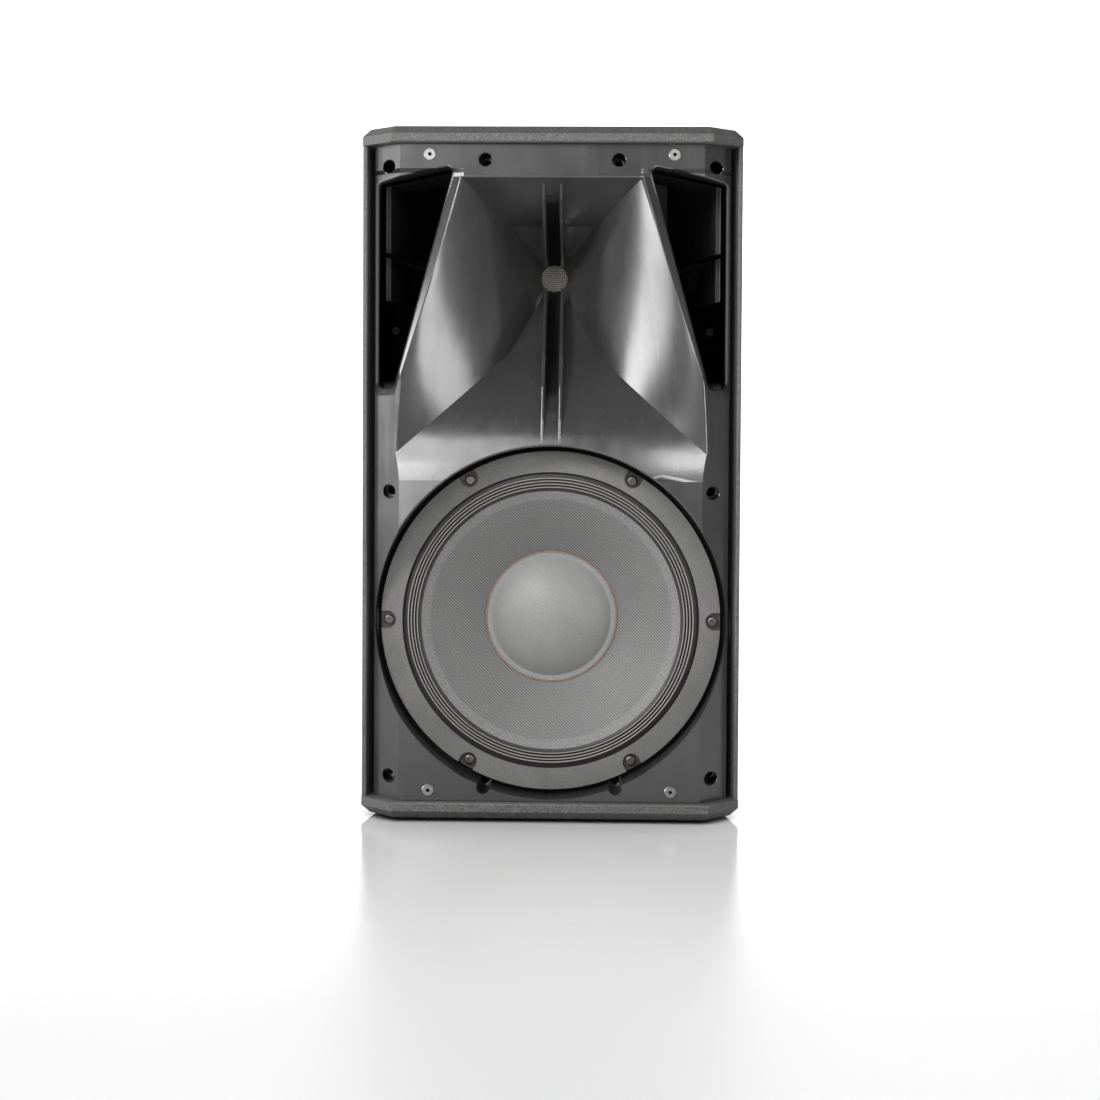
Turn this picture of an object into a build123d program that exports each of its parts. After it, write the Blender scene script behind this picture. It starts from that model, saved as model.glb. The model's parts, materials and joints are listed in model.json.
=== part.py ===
"""Two-way 12-inch PA speaker cabinet, passive, shown without its grille.

Frame: +Z up, front towards -Y, origin under the middle of the cabinet on the floor. Millimetres.
Every function below works in a drawing frame in which Y is the depth behind the front edge of the
top panel, and Z is the height above the underside of the bottom panel. save() moves the result
into the part's own frame.
"""
from build123d import *
import math
import os

os.makedirs("parts", exist_ok=True)

# ---- driving dimensions of the box -------------------------------------------------------------
WIDTH = 346.0
HEIGHT = 625.0
DEPTH = 350.0
PLY = 15.0
FOOT = 3.0
TAPER = math.tan(math.radians(8.0))
FACE_HALF = 144.0        # half width of the flat front edge of the top and bottom panels
CORNER_T = WIDTH / 2 - FACE_HALF   # depth of the 45 degree front corners
EDGE_CHAMFER = 7.0
LIP = 4.5                # side panel edge outside the grille groove
GROOVE = 6.0
TOP_Z = HEIGHT - PLY     # underside of the top panel

# ---- driving dimensions of the moulded front ---------------------------------------------------
FRONT_T = 8.0            # the moulding's flat face lies this far behind the panels' front edge
FOLD_X = 137.0           # where the flat face turns into the 45 degree side strips
FLANGE_T = 60.0          # rear face of the moulding's mounting flange
WALL = 4.0
SIDE_GAP = LIP + GROOVE + 0.1
SHELL_Z0 = PLY + 0.5
SHELL_Z1 = TOP_Z - 0.5
TUBE_R = 6.0
SCREW_SPOTS = [(60.0, 595.5), (148.0, 590.0), (145.0, 443.0), (147.0, 296.0), (147.0, 36.0), (60.0, 27.7)]
GRILLE_FIX = (110.0, 25.0, 600.0)  # half spacing, low and high row of the grille inserts
INSERT_R = 5.5
GRILLE_BORE = 1.65       # M4 thread

# ---- carrying, standing and hanging fittings ------------------------------------------------------
HANDLE_T = 215.0
HANDLE_Z = 400.0
HANDLE_Y = 138.0         # outside of the handle cup along the side panel
HANDLE_H = 100.0
HANDLE_D = 52.0
HANDLE_SCREWS = [(-78, -52), (-78, 0), (-78, 52), (78, -52), (78, 0), (78, 52)]
POLE_T = 205.0
POLE_R = 18.0            # takes a 35 mm pole
POLE_DEEP = 85.0
POLE_SCREWS = [(24, 181), (24, 229), (-24, 181), (-24, 229)]
FOOT_SPOTS = [(-125, 40), (125, 40), (-95, 320), (95, 320)]
FOOT_R = 14.0
RIG_TOP_T = (100.0, 280.0)
RIG_REAR_Z = 560.0
M10_R = 4.25

# ---- connection plate and crossover ---------------------------------------------------------------
DISH_Z = 150.0
DISH_W = 140.0
DISH_H = 86.0
DISH_D = 26.0
DISH_SCREWS = [(-75, -48), (-75, 48), (75, -48), (75, 48)]
SOCKET_X = 32.0
SOCKET_R = 11.5
BOARD_Z = 320.0
BOARD_W = 170.0
BOARD_H = 110.0
BOARD_T = 325.0
BOARD_SPOTS = [(-78, 272), (78, 272), (-78, 368), (78, 368)]

# ---- woofer -----------------------------------------------------------------------------------
WOOFER_Z = 177.0
RECESS_R = 160.5
GASKET_T = 39.0
FRAME_T = 42.0
LEDGE_T = 48.0
FRAME_R = 156.0
RING_IN_R = 136.7
CUTOUT_R = 141.0
SCREW_PCR = 149.0
CONE_R = 121.5
CAP_R = 60.5
COIL_R = 38.1
MAGNET_T = 119.0
RIM_R = 119.5            # outer edge of the cone's straight part
RIM_T = 42.5
NECK_T = 95.0

# ---- horn and compression driver --------------------------------------------------------------
THROAT_Z = 497.0
THROAT_R = 12.7
THROAT_T = 135.0
HF_T = 138.0             # front face of the driver's pole piece
KNEE_T = 78.0
FIN_X = 8.0
FIN_W = 3.4
SIDE_FLARE = 1.35        # how late the side walls open out between the knee and the mouth
LIP_SLOPE = 0.15         # how steeply the lower wall meets the flat face
FLOOR_FLARE = 2.29       # how hard the lower wall turns down before that
# right-hand wall of each section as a curve's (half width, height): top corner, two poles, bottom corner
KNEE = [(40.0, 542.0), (40.0, 503.0), (40.0, 464.0), (40.0, 425.0)]
MOUTH = [(82.0, 580.0), (103.0, 500.0), (133.0, 408.0), (168.9, 306.5)]

# ---- port windows, right-hand side, in X and Z ---------------------------------------------------
WINDOW = [(88.0, 590.5), (157.5, 575.5), (157.5, 390.0), (142.5, 390.0)]
WINDOW_ROUND = 5.0
FLOOR_T = 50.0           # floor of the window's lower end
PORT_Z = 472.0           # lower edge of the port at the outer side
PORT_SLOPE = 0.257
PORT_END_T = 142.0
DIVIDER_UP = 40.0        # height of the divider above the port's lower edge


def outer_x(t):
    """Half width of the cabinet at depth t, outside the side panels."""
    return WIDTH / 2 - (t - CORNER_T) * TAPER


def inner_x(t):
    """Half width between the side panels' inner faces at depth t."""
    return outer_x(t) - PLY / math.cos(math.atan(TAPER))


def shell_x(t, inset=0.0):
    """Half width of the moulded front at depth t, less an inset."""
    return outer_x(t) - SIDE_GAP - inset


def save(name, shape):
    """Moves a shape from the drawing frame to the part's frame and writes it."""
    export_step(Pos(0, -DEPTH / 2, FOOT) * shape, f"parts/{name}.step")


def both(points):
    """Closes a right-hand outline, listed from front to back, with its mirror image."""
    return points + [(-x, y) for x, y in reversed(points)]


def prism_z(points, z0, z1):
    return Pos(0, 0, z0) * extrude(Polygon(*points, align=None), z1 - z0, dir=(0, 0, 1))


def rod(r, t0, t1, x=0.0, z=0.0):
    """A cylinder along the depth axis."""
    return Pos(x, (t0 + t1) / 2, z) * (Rot(90, 0, 0) * Cylinder(r, t1 - t0))


def tube(r0, r1, t0, t1, x=0.0, z=0.0):
    return rod(r1, t0, t1, x, z) - rod(r0, t0 - 1, t1 + 1, x, z)


def turned(points, z=0.0):
    """A profile in radius and depth, turned about the depth axis."""
    return Pos(0, 0, z) * revolve(Polygon(*points, align=None), Axis.Y)


def mirrored(shape):
    return mirror(shape, Plane.YZ)


def ring_of(shape, count, z, start=0.0):
    """Copies of a shape turned about the depth axis at height z."""
    turn = [Pos(0, 0, z) * Rot(0, start + 360 * k / count, 0) * Pos(0, 0, -z) for k in range(count)]
    return [place * shape for place in turn]


# ---- moulded front with horn -------------------------------------------------------------------
def shell_plan(inset, back):
    """Plan outline of the moulded front, its front and sides set in by inset."""
    fold_t = FRONT_T + inset
    fold_x = FOLD_X - inset * math.tan(math.radians(22.5))
    reach = (shell_x(fold_t, inset) - fold_x) / (1 + TAPER)
    return both([(fold_x, fold_t), (fold_x + reach, fold_t + reach), (shell_x(back, inset), back)])


def horn_wall(down):
    """Poles of the right-hand wall, and their depth, a given share of the way down the lower wall."""
    left = 1 - down
    out = 1 - LIP_SLOPE * left - (1 - LIP_SLOPE) * left**FLOOR_FLARE
    shares = [out**SIDE_FLARE, out**SIDE_FLARE, out**1.3, down]
    poles = [
        (kx + (mx - kx) * share ** (1.06 if share == down else 1), kz + (mz - kz) * share)
        for (kx, kz), (mx, mz), share in zip(KNEE, MOUTH, shares)
    ]
    return poles, KNEE_T + (FRONT_T - KNEE_T) * out


def horn_section(poles, t, grow=0.0):
    """Face across the horn at depth t: curved side walls between a straight top and bottom."""
    aims = [(1, 1), (1, 0), (1, 0), (1, -1)]
    right = [(x + grow * ax, t, z + grow * az) for (x, z), (ax, az) in zip(poles, aims)]
    left = [(-x, y, z) for x, y, z in reversed(right)]
    edges = [Bezier(*right), Line(right[-1], left[0]), Bezier(*left), Line(left[-1], right[0])]
    return Face(Wire(edges))


def horn_space(grow=0.0, behind=0.0):
    """The air inside the horn, or with grow above 0 the outside of its wall, which lies further back."""
    sections = []
    for down in (0, 0.15, 0.3, 0.45, 0.6, 0.75, 0.88, 1.0):
        poles, t = horn_wall(down)
        sections.append(horn_section(poles, t + behind, grow))
    lip = extrude(sections[-1], 12, dir=(0, -1, 0))
    throat = loft([Face(Wire(throat_arcs(THROAT_R + grow))), sections[0]])
    return loft(sections) + lip + throat


def throat_arcs(r):
    """The throat circle as four arcs, which start where the horn's four walls do."""
    angles = [55, -55, -125, -235, -305]
    arcs = []
    for a, b in zip(angles, angles[1:]):
        ends = []
        for angle in (a, (a + b) / 2, b):
            c, s = math.cos(math.radians(angle)), math.sin(math.radians(angle))
            ends.append((r * c, THROAT_T, THROAT_Z + r * s))
        arcs.append(ThreePointArc(*ends))
    return arcs


def horn_fins():
    """Two upright fins, from the horn's upper and lower walls, with a curved free edge."""
    fins = []
    for side in (-1, 1):
        x = side * FIN_X
        upper = [(11, 579), (28, 562), (55, 539), (88, 519), (118, 505.5), (118, 600), (11, 600)]
        lower = [(14.5, 341), (19, 362), (30, 392), (50, 420), (75, 445), (100, 470), (118, 487)]
        lower += [(118, 300), (14.5, 300)]
        for outline in (upper, lower):
            face = Plane.YZ * Polygon(*outline, align=None)
            fin = Pos(x - FIN_W / 2, 0, 0) * extrude(face, FIN_W, dir=(1, 0, 0))
            long_edges = [e for e in fin.edges() if abs(e.tangent_at(0.5).X) < 0.1]
            free = [e for e in long_edges if 300.5 < e.center().Z < 599.5 and e.center().Y < 117.5]
            fins.append(fillet(free, FIN_W * 0.4))
    return fins


def window_face(grow=0.0):
    face = fillet(Polygon(*WINDOW, align=None).vertices(), WINDOW_ROUND)
    return offset(face, grow) if grow else face


def port_face(grow=0.0):
    """The part of the window that opens into the port duct."""
    x0, x1 = WINDOW[0][0] - 20, WINDOW[1][0] + 20
    drop = PORT_SLOPE * (WINDOW[1][0] - x0)
    rise = PORT_SLOPE * (x1 - WINDOW[1][0])
    above = Polygon((x0, PORT_Z - drop), (x1, PORT_Z + rise), (x1, HEIGHT), (x0, HEIGHT), align=None)
    face = Face((window_face() & above).faces()[0].wrapped)
    return offset(face, grow) if grow else face


def push(face, t0, t1):
    """A face drawn in X and Z, extruded from depth t0 to t1."""
    return Pos(0, t1, 0) * (Rot(90, 0, 0) * extrude(face, t1 - t0, dir=(0, 0, 1)))


def between_sides(inset, t0, t1, z0=0.0, z1=HEIGHT):
    """Everything between the moulding's side faces, set in by inset, from depth t0 to t1."""
    plan = both([(shell_x(t0, inset), t0), (shell_x(t1, inset), t1)])
    return prism_z(plan, z0, z1)


def front_moulding():
    flange_w = 20.0
    back = FLANGE_T
    shell = prism_z(shell_plan(0, back), SHELL_Z0, SHELL_Z1)
    shell -= prism_z(shell_plan(WALL, back + 5), SHELL_Z0 + WALL, SHELL_Z1 - WALL)
    frame = between_sides(0, back - WALL, back, SHELL_Z0, SHELL_Z1)
    open_x, open_z = 2 * (inner_x(back) - flange_w), HEIGHT - 2 * (PLY + flange_w)
    frame -= Pos(0, back, HEIGHT / 2) * Box(open_x, 20, open_z)
    adds = [frame, horn_space(WALL, 3.0), rod(RECESS_R + WALL, FRONT_T, LEDGE_T + 8, 0, WOOFER_Z)]
    adds.append(rod(46, THROAT_T - 8, THROAT_T + 2, 0, THROAT_Z))
    wall = push(window_face(3.0), FRONT_T, back)
    adds += [wall, mirrored(wall)]
    for x, z in SCREW_SPOTS:
        adds += [rod(TUBE_R + 2.5, FRONT_T, back, side * x, z) for side in (-1, 1)]
    fix_x, low, high = GRILLE_FIX
    for x, z in [(-fix_x, low), (fix_x, low), (-fix_x, high), (fix_x, high)]:
        adds.append(rod(6.5, FRONT_T, FRONT_T + 14, x, z))
    solid = shell + adds
    solid &= prism_z(shell_plan(0, THROAT_T + 10), SHELL_Z0, SHELL_Z1)

    air = horn_space() - horn_fins()
    cuts = [air, rod(THROAT_R, THROAT_T - 1, THROAT_T + 5, 0, THROAT_Z)]
    cuts.append(rod(RECESS_R, -5, LEDGE_T, 0, WOOFER_Z))
    cuts.append(rod(CUTOUT_R, 0, back + 5, 0, WOOFER_Z))
    limit = between_sides(3.5, -5, back + 5)
    window = (push(window_face(), -5, FLOOR_T) + push(port_face(), 0, back + 5)) & limit
    cuts += [window, mirrored(window)]
    for x, z in SCREW_SPOTS:
        for side in (-1, 1):
            cuts.append(rod(TUBE_R, -5, back - WALL, side * x, z))
            cuts.append(rod(2.8, back - 10, back + 5, side * x, z))
    for x, z in [(-fix_x, low), (fix_x, low), (-fix_x, high), (fix_x, high)]:
        cuts.append(rod(3.0, -5, FRONT_T + 11, x, z))
    cuts += ring_of(rod(2.7, 40, back + 5, SCREW_PCR, WOOFER_Z), 6, WOOFER_Z)
    for side in (-1, 1):
        cuts.append(rod(3.3, THROAT_T - 20, THROAT_T + 10, side * 38.1, THROAT_Z))
    return solid - cuts


def divider(t0, t1):
    """Sloping rib across the port."""
    x0, x1 = 100.0, 160.0
    z0, z1 = (PORT_Z + DIVIDER_UP - PORT_SLOPE * (WINDOW[1][0] - x) for x in (x0, x1))
    band = Polygon((x0, z0), (x1, z1), (x1, z1 + 3.5), (x0, z0 + 3.5), align=None)
    return push(band, t0, t1)


def groove_ribs():
    """Small ribs along the bottom of the grille groove, on both sides of the moulding."""
    ribs = []
    for k in range(15):
        x = shell_x(52.0)
        rib = Pos(x + 1.2, 50, 588.5 - 40 * k) * Box(3.4, 20, 1.4)
        ribs += [rib, mirrored(rib)]
    return ribs


def points_on(edge):
    return [edge @ share for share in (0.0, 0.3, 0.5, 0.8, 1.0)]


def on_face(point):
    """Whether a point lies on the moulding's flat face or its 45 degree side strips."""
    return abs(point.Y - FRONT_T - max(abs(point.X) - FOLD_X, 0)) < 0.01


def beside_mouth(point):
    """Whether a point lies on the horn's top lip or above the lower end of its side lips."""
    top_x, top_z = MOUTH[0]
    return point.Z > 331 and abs(point.X) < 141.5 and (
        abs(point.Z - top_z) < 0.5 or abs(point.X) > top_x + (top_z - point.Z) * 0.22 - 0.5
    )


def mouth_edge(edge):
    spots = points_on(edge)
    straight_top = all(abs(p.Z - MOUTH[0][1]) < 0.01 for p in spots)
    side = edge.geom_type in (GeomType.BSPLINE, GeomType.BEZIER) and all(beside_mouth(p) for p in spots)
    return all(on_face(p) for p in spots) and (straight_top or side) and edge.length > 5


def window_edge(edge):
    (x0, z0), (x1, _), (_, z2), _ = WINDOW
    within = all(
        on_face(p) and z2 - 1 < p.Z < z0 + 1 and x0 - 1 < abs(p.X) < x1 + 1 for p in points_on(edge)
    )
    return within and not mouth_edge(edge)


def recess_edge(edge):
    spots = points_on(edge)
    on_rim = all(abs(math.hypot(p.X, p.Z - WOOFER_Z) - RECESS_R) < 0.01 for p in spots)
    return on_rim and all(p.Y < LEDGE_T - 1 for p in spots) and edge.length > 12


def tube_edge(edge):
    """The rim of a screw tube, where it is a whole circle or ellipse."""
    spots = points_on(edge)
    rims = [
        all(abs(math.hypot(abs(p.X) - x, p.Z - z) - TUBE_R) < 0.01 for p in spots) for x, z in SCREW_SPOTS
    ]
    return any(rims) and all(on_face(p) for p in spots) and edge.length > 6 * TUBE_R


def eased(shape, chosen, radius):
    """Fillet every edge of a solid that chosen() picks."""
    return fillet([edge for edge in shape.edges() if chosen(edge)], radius).solids()[0]


def finished_front():
    front = front_moulding().solids()[0]
    front = eased(front, window_edge, 2.0)
    front = eased(front, mouth_edge, 2.0)
    front = eased(front, lambda e: recess_edge(e) and e.geom_type == GeomType.BSPLINE, 1.5)
    front = chamfer([edge for edge in front.edges() if tube_edge(edge)], 0.6)
    port = push(window_face(1.0), 40, FLANGE_T) & between_sides(3.0, 40, FLANGE_T)
    rib = divider(44, FLANGE_T) & port
    front += [rib, mirrored(rib)]
    front += groove_ribs()
    return front


def port_duct():
    """Right-hand port duct behind the moulding, with its divider."""
    outer = push(port_face(3.0), FLANGE_T, PORT_END_T) & within_box(0.4, FLANGE_T, PORT_END_T)
    inner = push(port_face(), FLANGE_T - 1, PORT_END_T + 1) & within_box(3.4, FLANGE_T - 1, PORT_END_T + 1)
    port = push(port_face(1.0), FLANGE_T, PORT_END_T) & within_box(3.0, FLANGE_T, PORT_END_T)
    rib = divider(FLANGE_T, PORT_END_T) & port
    return outer - inner + rib


def within_box(gap, t0, t1):
    """The space between the side panels from depth t0 to t1, less a gap on each side."""
    plan = both([(inner_x(t0) - gap, t0), (inner_x(t1) - gap, t1)])
    return prism_z(plan, 0, HEIGHT)


# ---- wooden box --------------------------------------------------------------------------------
def panel_plan():
    return both([(FACE_HALF, 0), (WIDTH / 2, CORNER_T), (outer_x(DEPTH), DEPTH)])


def cap_panel():
    """Top panel, drawn with its underside at height zero."""
    panel = prism_z(panel_plan(), 0, PLY)
    panel = chamfer(panel.faces().sort_by(Axis.Z)[-1].edges(), EDGE_CHAMFER)
    low_front = panel.faces().sort_by(Axis.Z)[0].edges().sort_by(Axis.Y)[0]
    return fillet(low_front, 2.0)


def top_panel():
    panel = Pos(0, 0, TOP_Z) * cap_panel()
    return panel - [Pos(0, t, TOP_Z) * insert_pocket() for t in RIG_TOP_T]


def bottom_panel():
    panel = mirror(cap_panel(), Plane.XY)
    panel = Pos(0, 0, PLY) * panel
    cuts = [Pos(0, POLE_T, 0) * Cylinder(POLE_R + 4.5, 60)]
    cuts += [Pos(x, t, 0) * Cylinder(1.6, 24) for x, t in POLE_SCREWS + FOOT_SPOTS]
    return panel - cuts


def side_panel():
    step = FLANGE_T
    plan = [
        (WIDTH / 2, CORNER_T), (outer_x(DEPTH), DEPTH), (inner_x(DEPTH), DEPTH), (inner_x(step), step),
        (outer_x(step) - LIP, step), (WIDTH / 2 - LIP, CORNER_T),
    ]
    panel = prism_z(plan, PLY, TOP_Z)
    front_edges = panel.edges().filter_by(Axis.Z).sort_by(Axis.Y)[:2]
    panel = fillet(front_edges, 1.5)
    here = on_side(HANDLE_T, HANDLE_Z)
    cuts = [here * rounded_block(60, HANDLE_Y + 2, HANDLE_H + 2, 14)]
    cuts += [here * Pos(-5, y, z) * (Rot(0, 90, 0) * Cylinder(1.65, 20)) for y, z in HANDLE_SCREWS]
    return panel - cuts


def rear_panel():
    t0 = DEPTH - PLY
    plan = both([(inner_x(t0), t0), (inner_x(DEPTH), DEPTH)])
    panel = prism_z(plan, PLY, TOP_Z)
    cuts = [Pos(0, t0, DISH_Z) * Box(DISH_W + 1, 60, DISH_H + 1)]
    cuts.append(Pos(0, DEPTH, DISH_Z) * Box(DISH_W + 25, 4.4, DISH_H + 25))
    cuts += [rod(1.4, t0 + 3, DEPTH, x, DISH_Z + z) for x, z in DISH_SCREWS]
    cuts += [rod(1.4, t0 - 1, t0 + 10, x, z) for x, z in BOARD_SPOTS]
    cuts.append(Pos(0, t0, RIG_REAR_Z) * (Rot(-90, 0, 0) * insert_pocket()))
    return panel - cuts


def front_frame():
    """Plywood frame behind the moulding's flange, notched around the two ports."""
    t0, t1 = FLANGE_T + 2, FLANGE_T + 20
    frame = within_box(0, t0, t1) & (Pos(0, t0, HEIGHT / 2) * Box(WIDTH, 80, HEIGHT - 2 * PLY))
    cuts = [Pos(0, t0, HEIGHT / 2) * Box(2 * 133, 60, HEIGHT - 2 * (PLY + 20))]
    notch = push(port_face(3.6), t0 - 5, t1 + 5)
    cuts += [notch, mirrored(notch), rod(RECESS_R - 1, t0 - 5, t1 + 5, 0, WOOFER_Z)]
    cuts += [rod(1.9, t0 - 5, t1 + 5, side * x, z) for x, z in SCREW_SPOTS for side in (-1, 1)]
    return frame - cuts


def front_gasket():
    """Foam strip between the moulding and the plywood frame."""
    t0, t1 = FLANGE_T, FLANGE_T + 2
    strip = within_box(0.5, t0, t1) & (Pos(0, t0, HEIGHT / 2) * Box(WIDTH, 80, HEIGHT - 2 * PLY - 1))
    cuts = [Pos(0, t0, HEIGHT / 2) * Box(2 * 137, 60, HEIGHT - 2 * (PLY + 16))]
    notch = push(port_face(3.6), t0 - 5, t1 + 5)
    cuts += [notch, mirrored(notch), rod(RECESS_R, t0 - 5, t1 + 5, 0, WOOFER_Z)]
    cuts += [rod(3.5, t0 - 5, t1 + 5, side * x, z) for x, z in SCREW_SPOTS for side in (-1, 1)]
    return strip - cuts


# ---- screws and inserts ------------------------------------------------------------------------
def screw(x, z, t, head_r, head_h, shank_r, length):
    """Pan head cross-recess screw driven along the depth axis; its head rests on depth t."""
    head = rod(head_r, t - head_h, t, x, z)
    head = fillet(head.edges().sort_by(Axis.Y)[0], head_h * 0.55)
    slot = head_r * 1.1
    blade = head_r * 0.24
    middle = Pos(x, t - head_h, z)
    cross = [middle * Box(slot, head_h, blade), middle * Box(blade, head_h, slot)]
    return head + rod(shank_r, t, t + length, x, z) - cross


def insert_pocket():
    """Hole for a flanged M10 insert in a panel of thickness PLY, opening upwards."""
    return Pos(0, 0, PLY / 2) * Cylinder(7.2, PLY + 2) + Pos(0, 0, PLY) * Cylinder(12.2, 3.2)


def m10_insert():
    body = Pos(0, 0, PLY / 2) * Cylinder(7.0, PLY) + Pos(0, 0, PLY - 0.75) * Cylinder(12.0, 1.5)
    return body - Pos(0, 0, PLY / 2) * Cylinder(M10_R, PLY + 2)


def rigging_inserts():
    top = [Pos(0, t, TOP_Z) * m10_insert() for t in RIG_TOP_T]
    return top + [Pos(0, DEPTH - PLY, RIG_REAR_Z) * (Rot(-90, 0, 0) * m10_insert())]


def grille_inserts():
    fix_x, low, high = GRILLE_FIX
    made = []
    for x, z in [(-fix_x, low), (fix_x, low), (-fix_x, high), (fix_x, high)]:
        collar = rod(INSERT_R, FRONT_T - 1.6, FRONT_T, x, z)
        collar = chamfer(collar.edges().sort_by(Axis.Y)[0], 0.6)
        body = collar + rod(2.9, FRONT_T, FRONT_T + 10, x, z)
        made.append(body - rod(GRILLE_BORE, 0, FRONT_T + 11, x, z))
    return made


# ---- woofer --------------------------------------------------------------------------------------
def cone_depth(r):
    """Depth of the cone's front surface at radius r."""
    share = (RIM_R - r) / (RIM_R - COIL_R)
    return RIM_T + (NECK_T - RIM_T) * max(share, 0.0) ** 1.07


def skin(curve, thick):
    """A turned shell given its front curve as (radius, depth) points."""
    return turned(curve + [(r, t + thick) for r, t in reversed(curve)], WOOFER_Z)


def woofer_cone():
    inner = COIL_R + 0.3
    radii = [inner + (RIM_R - inner) * k / 12 for k in range(13)]
    return skin([(r, cone_depth(r)) for r in radii] + [(CONE_R + 0.5, RIM_T)], 0.8)


def woofer_cap():
    rise = 21.0
    base = 55.8
    ball = (base**2 + rise**2) / (2 * rise)
    seat = cone_depth(CAP_R)
    curve = [(0, seat - 0.8 - rise)]
    for k in range(1, 13):
        r = base * k / 12
        curve.append((r, seat - 0.8 - rise + ball - math.sqrt(ball**2 - r**2)))
    return skin(curve + [(CAP_R, seat - 0.8)], 0.8)


def woofer_cap_ring():
    seat = cone_depth(CAP_R)
    r0, r1, t0, t1 = CAP_R + 0.1, CAP_R + 1.1, seat - 1.8, seat - 0.9
    return turned([(r0, t0), (r1, t0), (r1, t1), (r0, t1)], WOOFER_Z)


def woofer_surround():
    """Corrugated cloth surround: four small rolls between the basket rim and the cone."""
    curve = [(RIM_R, RIM_T - 0.6), (CONE_R, RIM_T - 0.6)]
    span = 132.5 - CONE_R
    steps = 32
    for k in range(1, steps):
        share = k / steps
        sink = 1.6 * math.cos(2 * math.pi * 4 * share)
        level = RIM_T - 0.6 + (FRAME_T - RIM_T) * share
        curve.append((CONE_R + span * share, level + sink - 1.6))
    curve += [(132.5, FRAME_T - 0.6), (RING_IN_R - 0.2, FRAME_T - 0.6)]
    return skin(curve, 0.6)


def woofer_gasket():
    ring = tube(RING_IN_R, FRAME_R, GASKET_T, FRAME_T, 0, WOOFER_Z)
    notch = rod(8.0, 30, 50, SCREW_PCR + 1.5, WOOFER_Z) + Pos(SCREW_PCR + 9, 40, WOOFER_Z) * Box(15, 20, 16)
    return ring - ring_of(notch, 6, WOOFER_Z)


def woofer_basket():
    profile = [
        (132, FRAME_T), (FRAME_R, FRAME_T), (FRAME_R, LEDGE_T), (139.5, LEDGE_T), (139.5, 52), (94, 107),
        (87, 116), (87, MAGNET_T), (44, MAGNET_T), (44, 116), (83, 116), (91, 108), (72, 108), (72, 106),
        (92, 106), (135, 52), (132, 48),
    ]
    basket = turned(profile, WOOFER_Z)
    opening = Polygon((96, -15), (150, -36), (150, 36), (96, 15), align=None)
    window = push(opening, 53.5, 104)
    window = Pos(0, 0, WOOFER_Z) * window
    holes = ring_of(rod(2.7, 30, 60, SCREW_PCR, WOOFER_Z), 6, WOOFER_Z)
    return basket - ring_of(window, 6, WOOFER_Z, 30) - holes


def woofer_former():
    return tube(COIL_R, COIL_R + 0.3, NECK_T - 1, 131, 0, WOOFER_Z)


def woofer_winding():
    return tube(COIL_R + 0.3, COIL_R + 1.3, 116, 130, 0, WOOFER_Z)


def woofer_spider():
    """Corrugated centring spider."""
    inner, outer = COIL_R + 0.3, 84.0
    curve = []
    for k in range(49):
        share = k / 48
        wave = 1.5 * math.sin(2 * math.pi * 5 * share) if share < 0.8 else 0.0
        curve.append((inner + (outer - inner) * share, 105.4 + wave))
    return skin(curve, 0.5)


def woofer_yoke():
    yoke = rod(85, 147, 157, 0, WOOFER_Z) + rod(COIL_R - 0.5, 118, 148, 0, WOOFER_Z)
    return yoke - rod(12, 110, 160, 0, WOOFER_Z)


def woofer_terminals():
    plate = Pos(93, 117.5, WOOFER_Z) * Box(12, 2, 24)
    tags = [Pos(101, 117.5, WOOFER_Z + z) * Box(8, 0.8, 5) for z in (-7, 7)]
    return plate + tags


def woofer_screws():
    one = screw(SCREW_PCR, WOOFER_Z, FRAME_T, 4.6, 3.4, 2.5, 18)
    return ring_of(one, 6, WOOFER_Z)


def baffle_screws():
    made = []
    for x, z in SCREW_SPOTS:
        made += [screw(side * x, z, FLANGE_T - WALL, 4.4, 3.0, 1.85, 24) for side in (-1, 1)]
    return made


# ---- compression driver --------------------------------------------------------------------------
def hf_ring(r0, r1, t0, t1):
    return tube(r0, r1, t0, t1, 0, THROAT_Z)


def hf_gasket():
    holes = [rod(3.3, HF_T - 5, HF_T + 5, x, THROAT_Z) for x in (-38.1, 38.1)]
    return hf_ring(16, 46, HF_T - 1, HF_T) - holes


def hf_throat_mesh():
    """Woven screen across the throat, in a thin rim."""
    rim = hf_ring(13.2, 15.8, HF_T - 0.8, HF_T)
    weave = []
    for k in range(-6, 7):
        reach = 2 * math.sqrt(14.5**2 - (2.1 * k) ** 2)
        weave.append(Pos(2.1 * k, HF_T - 0.3, THROAT_Z) * Box(0.6, 0.5, reach))
        weave.append(Pos(0, HF_T - 0.5, THROAT_Z + 2.1 * k) * Box(reach, 0.5, 0.6))
    return rim + weave


def hf_bore():
    """The widening sound passage through the driver."""
    profile = [(0, HF_T - 1), (THROAT_R, HF_T - 1), (THROAT_R, HF_T), (19, HF_T + 35), (0, HF_T + 35)]
    return turned(profile, THROAT_Z)


def hf_pole_piece():
    body = rod(50, HF_T, HF_T + 8, 0, THROAT_Z) + rod(21.9, HF_T + 8, HF_T + 34, 0, THROAT_Z)
    return body - hf_bore() - [rod(2.9, HF_T - 5, HF_T + 20, x, THROAT_Z) for x in (-38.1, 38.1)]


def hf_phase_plug():
    plug = turned([(0, HF_T + 6), (15.5, HF_T + 33), (0, HF_T + 33)], THROAT_Z)
    web = Pos(13, HF_T + 24, THROAT_Z) * Box(14, 12, 1.6)
    webs = [piece & hf_bore() for piece in ring_of(web, 3, THROAT_Z, 90)]
    return plug + webs


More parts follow.
